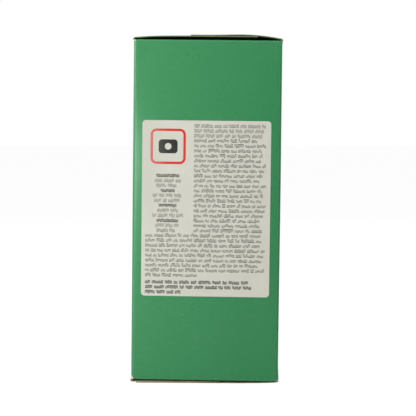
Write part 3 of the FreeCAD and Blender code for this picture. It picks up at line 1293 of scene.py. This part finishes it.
@dataclass
class PrintedLines:
    """The lines of small print, as bands of plain strokes that hang from or stand on thin rails."""

    ground: PrintedField
    symbol: PlainSymbol
    margin: float = 1.9
    line_pitch: float = 2.53
    heading_lines: int = 3
    drop: float = 2.7
    footer_lines: int = 3
    footer_rise: float = 2.1
    footer_gap: float = 0.5
    caption_gap: float = 5.8
    caption_lines: int = 12
    caption_group: int = 3
    caption_margin: float = 4.9
    caption_spread: float = 6.5
    caption_bold: float = 4.0
    word_gap: float = 0.7
    word_inset: float = 0.15
    word_shortest: float = 1.5
    word_spread: float = 5.2
    ragged: float = 3.5
    body_last: float = 26.5
    footer_ragged: float = 10.0
    footer_last: float = 20.0
    stroke_reach: float = 0.27
    rail_reach: float = 0.99
    short_stroke: float = 0.8
    tall_words: float = 0.13
    tall_marks: float = 0.26
    spacing_slack: float = 0.9999

    def shuffled(self, row: int, number: int) -> float:
        """Returns a value from 0 to 1 that differs from row to row and from word to word."""
        return ((row + 1) * (number + 2) * GOLDEN) % 1.0

    def words(self, span: Point, z: float, row: int, weight: Print) -> Words:
        """Sets one line.

        Args:
            span: The line's two ends.
            z: Its middle height.
            row: Its number, which mixes its words' lengths.
            weight: Its print.

        Returns:
            A path along the foot of each word, between the middles of its first and last marks.
        """
        start, end = span
        foot = z - weight.height / 2
        inset = weight.pitch * self.stroke_reach + weight.stroke / 2 + self.word_inset
        found: Words = []
        while end - start >= self.word_shortest:
            length = self.word_shortest + self.word_spread * self.shuffled(row, len(found))
            first = start + inset
            last = max(first + weight.pitch, min(start + length, end) - inset)
            found.append([(first, 0.0, foot), (last, 0.0, foot)])
            start += length + self.word_gap
        return found

    def footer_top(self) -> float:
        """Returns the middle height of the footer's first line."""
        return self.ground.z[0] + self.footer_rise + (self.footer_lines - 1) * self.line_pitch

    def caption(self) -> list[tuple[float, Point]]:
        """Sets out the caption under the symbol.

        Returns:
            The middle height and the two ends of each of its lines.
        """
        x, z = self.symbol.centre
        first = z - self.symbol.size / 2 - self.caption_gap
        lines = []
        for row in range(self.caption_lines):
            widest = self.ground.column_inset - 2 * self.caption_margin
            half = (widest - self.caption_spread * self.shuffled(row, 0)) / 2
            lines.append((first - row * self.line_pitch, (x - half, x + half)))
        return lines

    def plain_words(self) -> dict[Print, Words]:
        """Sets the plain lines of the caption and the body.

        Returns:
            Their words, by their print.
        """
        found: dict[Print, Words] = {Print.PLAIN: [], Print.CAPITAL: []}
        for row, (z, span) in enumerate(self.caption()):
            if row % self.caption_group:
                found[Print.CAPITAL] += self.words(span, z, row, Print.CAPITAL)
        caption_end = self.caption()[-1][0] - self.line_pitch / 2
        z = self.ground.z[1] - self.drop
        last = self.footer_top() + self.footer_gap + self.line_pitch
        row = 0
        while z >= last:
            left = self.ground.x[0] + (self.ground.column_inset if z > caption_end else self.margin)
            right = self.ground.x[1] - self.margin - self.ragged * self.shuffled(row, 0)
            if z - self.line_pitch < last:
                right = left + self.body_last
            weight = Print.CAPITAL if row < self.heading_lines else Print.PLAIN
            found[weight] += self.words((left, right), z, row, weight)
            row += 1
            z -= self.line_pitch
        return found

    def bold_words(self) -> dict[Print, Words]:
        """Sets the bold lines of the caption and the footer.

        Returns:
            Their words, by their print.
        """
        found: Words = []
        inset = self.caption_bold / 2
        for z, (start, end) in self.caption()[:: self.caption_group]:
            foot = z - Print.BOLD.height / 2
            found.append([(start + inset, 0.0, foot), (end - inset, 0.0, foot)])
        left = self.ground.x[0] + self.margin
        for row in range(self.footer_lines):
            right = self.ground.x[1] - self.margin - self.footer_ragged * (1 - self.shuffled(row, 0) * GOLDEN)
            if row == self.footer_lines - 1:
                right = left + self.footer_last
            found += self.words((left, right), self.footer_top() - row * self.line_pitch, row, Print.BOLD)
        return {Print.BOLD: found}

    def combs(self, tree: GeometryTree) -> list[Wire]:
        """Draws the marks, each of two upright strokes that hang from a rail or stand on one.

        Args:
            tree: The tree that they belong to.

        Returns:
            One instance of each.
        """
        pitch, height, stroke = tree.given("Pitch"), tree.given("Height"), tree.given("Stroke")

        def block(width: Wire, tall: Wire, x: Number, low: Number) -> Wire:
            """Returns a thin block of the given width and height, with its foot at a height."""
            size = tree.node("ShaderNodeCombineXYZ", {}, {"X": width, "Y": tree.given("Ink"), "Z": tall})
            place = tree.node("ShaderNodeCombineXYZ", {}, {"X": x, "Z": tall * 0.5 + low})
            cube = tree.node("GeometryNodeMeshCube", {}, {"Size": size})
            return tree.node("GeometryNodeTransform", {}, {"Geometry": cube, "Translation": place})

        top = height - stroke
        between_rails, short = top - stroke, top * self.short_stroke
        right = pitch * self.stroke_reach
        left = right * -1.0
        top_rail = block(pitch * self.rail_reach, stroke, 0.0, top)
        foot_rail = block(pitch * self.rail_reach, stroke, 0.0, 0.0)
        kinds = (
            (top, short, True, [top_rail]),
            (short, top, False, [foot_rail]),
            (between_rails, between_rails, False, [top_rail, foot_rail]),
            (short, top, True, [top_rail]),
            (top, short, False, [foot_rail]),
            (short, short, True, [top_rail]),
            (short, short, False, [foot_rail]),
        )
        found = []
        for left_tall, right_tall, hung, rails in kinds:
            comb = []
            for tall, x in ((left_tall, left), (right_tall, right)):
                comb.append(block(stroke, tall, x, top - tall if hung else stroke))
            joined = tree.node("GeometryNodeJoinGeometry", {}, {0: comb + rails})
            found.append(tree.node("GeometryNodeGeometryToInstance", {}, {0: joined}))
        return found

    def mark_tree(self, name: str, material: bpy.types.Material) -> GeometryTree:
        """Builds the tree that sets marks side by side along each word's foot.

        Args:
            name: The tree's name.
            material: The marks' ink.

        Returns:
            The tree.
        """
        sizes = dict.fromkeys(("Pitch", "Height", "Stroke", "Tall", "Ink"), FLOAT)
        tree = GeometryTree(name, {**sizes, "Seed": WHOLE})
        pitch = tree.given("Pitch")
        combs = self.combs(tree)
        feet = tree.node("GeometryNodeMeshToCurve", {}, {0: tree.base})
        length = tree.node("GeometryNodeSplineLength")
        step = length / round(length / pitch).most(1.0) * self.spacing_slack
        points = tree.node("GeometryNodeResampleCurve", {"mode": "LENGTH"}, {"Curve": feet, "Length": step})
        pick = tree.drawn("INT", 0, {"Min": 0, "Max": len(combs) - 1})
        tall_mark = tree.drawn("FLOAT", 1, {}) > 1.0 - self.tall_marks
        of_word = {"ID": tree.node("GeometryNodeCurveOfPoint")}
        tall_word = tree.drawn("FLOAT", 2, of_word) > 1.0 - self.tall_words
        scale = {
            "X": length / (length.output("Point Count") - 1.0) / pitch,
            "Y": 1.0,
            "Z": 1.0 + tall_word.most(tall_mark) * (tree.given("Tall") - 1.0),
        }
        values = {
            "Points": points,
            "Instance": tree.node("GeometryNodeJoinGeometry", {}, {0: combs}),
            "Pick Instance": True,
            "Instance Index": pick,
            "Scale": tree.node("ShaderNodeCombineXYZ", {}, scale),
        }
        return tree.close(tree.node("GeometryNodeInstanceOnPoints", {}, values), material)

    def set_type(self, name: str, lines: Mapping[Print, Words], ink: bpy.types.Material) -> bpy.types.Mesh:
        """Sets words in marks and lays them on the pale field.

        Args:
            name: The mesh's name.
            lines: The foot of each word, by its print.
            ink: Its ink.

        Returns:
            The finished mesh.
        """
        tree = self.mark_tree(name + "_marks", ink)
        maker = bmesh.new()
        for weight, words in lines.items():
            values = {
                "Pitch": weight.pitch,
                "Height": weight.height,
                "Stroke": weight.stroke,
                "Tall": weight.tall,
                "Ink": 2 * self.ground.ink,
                "Seed": weight.seed,
            }
            maker.from_mesh(tree.run(wire_mesh(name, words), name, values))
        mesh = made_mesh(maker, name, ink)
        mesh.transform(Matrix.Translation((0.0, self.ground.outer_y(1), 0.0)))
        self.ground.form.set_down(mesh)
        return mesh

    def build(self, grey: bpy.types.Material, dark: bpy.types.Material) -> None:
        """Builds the plain and the bold lines.

        Args:
            grey: The plain lines' ink.
            dark: The bold lines' ink.
        """
        plain = self.set_type("plain_lines", self.plain_words(), grey)
        add_piece("plain_lines", plain, "grey_ink", "plain_line_print")
        bold = self.set_type("bold_lines", self.bold_words(), dark)
        add_piece("bold_lines", bold, "dark_ink", "bold_line_print")


@dataclass
class CornerFray:
    """Torn fibres of bare board where the closing flaps' folds end at the eight corners."""

    form: CartonForm
    blank: FoldedBlank
    radius: float = 0.86
    bend: Point = (255.0, 118.0)
    tufts: int = 13
    tuft: float = 0.2
    proud: float = 0.05
    behind: float = 0.25
    seed: int = 5
    thinnest: Point3 = (0.35, 0.45, 0.6)
    thickest: Point3 = (0.9, 1.1, 1.7)
    crumple: float = 0.35
    crumple_scale: float = 4.0
    gap_tufts: tuple[Point, ...] = (
        (-37.45, 0.25),
        (-37.2, 0.0),
        (-37.5, -0.2),
        (-37.05, -0.4),
        (-37.35, -0.6),
        (-36.75, -0.25),
        (-36.95, -0.8),
    )

    def build(self, material: bpy.types.Material) -> None:
        """Builds the fibres.

        Args:
            material: The bare board's finish.
        """
        form = self.form
        edge = form.depth / 2 - form.flap_setback + self.proud
        paths = []
        for flap in self.blank.flaps():
            fold = arc(flap.fold_centre(), self.radius, *self.bend, self.tufts)
            for y in (-edge, edge):
                paths.append([(x, y, z) for x, z in map(flap.placed, fold)])
        paths.append([(x, form.front + self.behind, z) for x, z in self.gap_tufts])
        base = wire_mesh("corner_fray", paths)
        mesh = self.tuft_tree(material).run(base, "corner_fray", {"Tuft": self.tuft, "Seed": self.seed})
        mesh.shade_smooth()
        form.set_down(mesh)
        add_piece("corner_fray", mesh, "printed_board")

    def tuft_tree(self, material: bpy.types.Material) -> GeometryTree:
        """Builds the tree that sets a crumpled tuft on each point.

        Args:
            material: The tufts' finish.

        Returns:
            The tree.
        """
        tree = GeometryTree("corner_tufts", {"Tuft": FLOAT, "Seed": WHOLE})
        ball = {"Radius": tree.given("Tuft"), "Subdivisions": 2}
        values = {
            "Points": tree.node("GeometryNodeMeshToPoints", {}, {"Mesh": tree.base}),
            "Instance": tree.node("GeometryNodeMeshIcoSphere", {}, ball),
            "Rotation": tree.drawn("FLOAT_VECTOR", 0, {"Min": (0.0, 0.0, 0.0), "Max": (6.28, 6.28, 6.28)}),
            "Scale": tree.drawn("FLOAT_VECTOR", 1, {"Min": self.thinnest, "Max": self.thickest}),
        }
        tufts = tree.node("GeometryNodeInstanceOnPoints", {}, values)
        real = tree.node("GeometryNodeRealizeInstances", {}, {"Geometry": tufts})
        place = tree.node("GeometryNodeInputPosition")
        lumps = {"Vector": place, "Scale": self.crumple_scale, "Detail": 2.0}
        amount = tree.node("ShaderNodeTexNoise", {}, lumps).swing(self.crumple)
        push = {0: tree.node("GeometryNodeInputNormal"), "Scale": amount}
        offset = tree.node("ShaderNodeVectorMath", {"operation": "SCALE"}, push)
        crumpled = tree.node("GeometryNodeSetPosition", {}, {"Geometry": real, "Offset": offset})
        return tree.close(crumpled, material)


@dataclass(frozen=True)
class Lamp:
    """A soft lamp: its place, its width and height, and its power in watts."""

    name: str
    place: Point3
    size: Point
    power: float

    def hang(self, aim: Vector) -> None:
        """Hangs the lamp.

        Args:
            aim: What it points at.
        """
        data = bpy.data.lights.new(self.name, "AREA")
        data.shape, data.energy = "RECTANGLE", self.power
        data.size, data.size_y = self.size
        lamp = add_object(self.name, data)
        lamp.location = self.place
        lamp.rotation_euler = (aim - lamp.location).to_track_quat("-Z", "Y").to_euler()


@dataclass
class Studio:
    """A plain pale floor, soft lamps, and the camera where the photograph was taken from, in metres."""

    camera_place: Point3 = (0.03175, -0.855, 0.13652)
    camera_pitch: float = -3.364
    camera_turn: float = 2.20
    lens: float = 137.21
    sensor: float = 36.0
    floor_size: float = 12.0
    floor_grey: Colour = (0.66, 0.66, 0.66)
    backdrop: Colour = (1.0, 1.0, 1.0)
    ambient: float = 0.25
    white: float = 0.75
    glow: float = 1.25
    aim: Point3 = (0.0, 0.0, 0.09)
    lamps: tuple[Lamp, ...] = (
        Lamp("key", (-0.60, -0.50, 0.37), (0.3, 0.3), 5.2),
        Lamp("upper_card", (-0.189, -0.478, 0.104), (0.13, 0.07), 0.20),
        Lamp("lower_card", (-0.189, -0.478, 0.052), (0.13, 0.10), 0.06),
        Lamp("right_fill", (0.85, 0.03, 0.45), (0.4, 0.4), 3.0),
        Lamp("rear_fill", (-0.10, 0.95, 0.50), (0.4, 0.4), 2.6),
    )

    def floor(self) -> None:
        """Lays the floor, which looks nearly white to the camera and still takes a shadow."""
        half = self.floor_size / 2
        mesh = bpy.data.meshes.new("floor")
        corners = [(x * half, y * half, 0.0) for x, y in ((-1, -1), (1, -1), (1, 1), (-1, 1))]
        mesh.from_pydata(corners, [], [(0, 1, 2, 3)])
        material = bpy.data.materials.new("floor")
        material.use_nodes = True
        bench = Bench(material.node_tree)
        seen = bench.node("ShaderNodeLightPath").output("Is Camera Ray")
        values = {
            "Fac": seen * self.white,
            1: bench.node("ShaderNodeBsdfDiffuse", {}, {"Color": self.floor_grey}),
            2: bench.node("ShaderNodeEmission", {}, {"Color": self.backdrop, "Strength": self.glow}),
        }
        bench.node("ShaderNodeOutputMaterial", {}, {"Surface": bench.node("ShaderNodeMixShader", {}, values)})
        mesh.materials.append(material)
        add_object("floor", mesh)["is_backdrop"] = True

    def world(self) -> None:
        """Lights the room evenly, and shows white behind the carton."""
        world = bpy.data.worlds.new("room")
        bpy.context.scene.world = world
        world.use_nodes = True
        bench = Bench(world.node_tree)
        path = bench.node("ShaderNodeLightPath")
        seen = path.output("Is Camera Ray").most(path.output("Is Transmission Ray"))
        _, backwards, _ = bench.node("ShaderNodeTexCoord").output("Generated").parts()
        mirrored = path.output("Is Glossy Ray") * backwards.eased(0.2, 0.7)
        strength = self.ambient + seen.most(mirrored) * (1.0 - self.ambient)
        light = bench.node("ShaderNodeBackground", {}, {"Color": self.backdrop, "Strength": strength})
        bench.node("ShaderNodeOutputWorld", {}, {"Surface": light})

    def camera(self) -> None:
        """Sets up the camera."""
        data = bpy.data.cameras.new("camera")
        data.lens, data.sensor_width = self.lens, self.sensor
        camera = add_object("camera", data)
        camera.location = self.camera_place
        camera.rotation_euler = (math.radians(90.0 + self.camera_pitch), 0.0, math.radians(self.camera_turn))
        bpy.context.scene.camera = camera

    def build(self) -> None:
        """Builds the whole studio."""
        bpy.context.scene.view_settings.view_transform = "Standard"
        self.camera()
        self.floor()
        self.world()
        for lamp in self.lamps:
            lamp.hang(Vector(self.aim))


def main() -> None:
    """Builds the carton and its studio, and reports each piece."""
    logging.basicConfig(level=logging.INFO, format="%(name)s: %(message)s")
    form = CartonForm()
    log.info("lean %.3f degrees, depth %.2f mm", math.degrees(form.lean), form.depth)
    printed = PrintedBoard(form).material()
    edge, edge_dark = linear(172, 162, 131), linear(88, 82, 56)
    cut = BareBoard(form, "cut_board_edge", edge, edge_dark, layers=5.0, top_tint=0.7, shade_drift=1.4).material()
    inside = BareBoard(form, "inside_board", linear(160, 150, 130), linear(134, 124, 104)).material()
    torn = BareBoard(form, "torn_board", linear(214, 203, 182), linear(168, 152, 126)).material()
    # The third colour of each ink is its painted light beside the upper left fold: darker for the pale ink, a
    # painted shade, and paler for the red, dark and grey inks, a painted glare.
    cream = (linear(216, 215, 203), linear(213, 211, 199), linear(206, 205, 193))
    pale = Ink(form, "pale_ink", *cream, rough=0.5, gloss=0.1).material()
    red = Ink(form, "red_ink", linear(222, 52, 44), linear(214, 60, 48), linear(214, 116, 106)).material()
    dark = Ink(form, "dark_ink", linear(42, 44, 39), linear(54, 56, 50), linear(92, 94, 84)).material()
    grey = Ink(form, "grey_ink", linear(40, 42, 38), linear(56, 58, 52), linear(92, 94, 84)).material()
    blank = FoldedBlank(form, printed, cut, inside)
    blank.build()
    printed_field = PrintedField(form)
    printed_field.build(pale)
    symbol = PlainSymbol(printed_field)
    symbol.build(red, dark)
    PrintedLines(printed_field, symbol).build(grey, dark)
    CornerFray(form, blank).build(torn)
    Studio().build()
    boxes = {"cad": CAD_BOX, "visual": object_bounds()}
    {name: [list(corner) for corner in box] for name, box in boxes.items()}


if __name__ == "__main__":
    main()
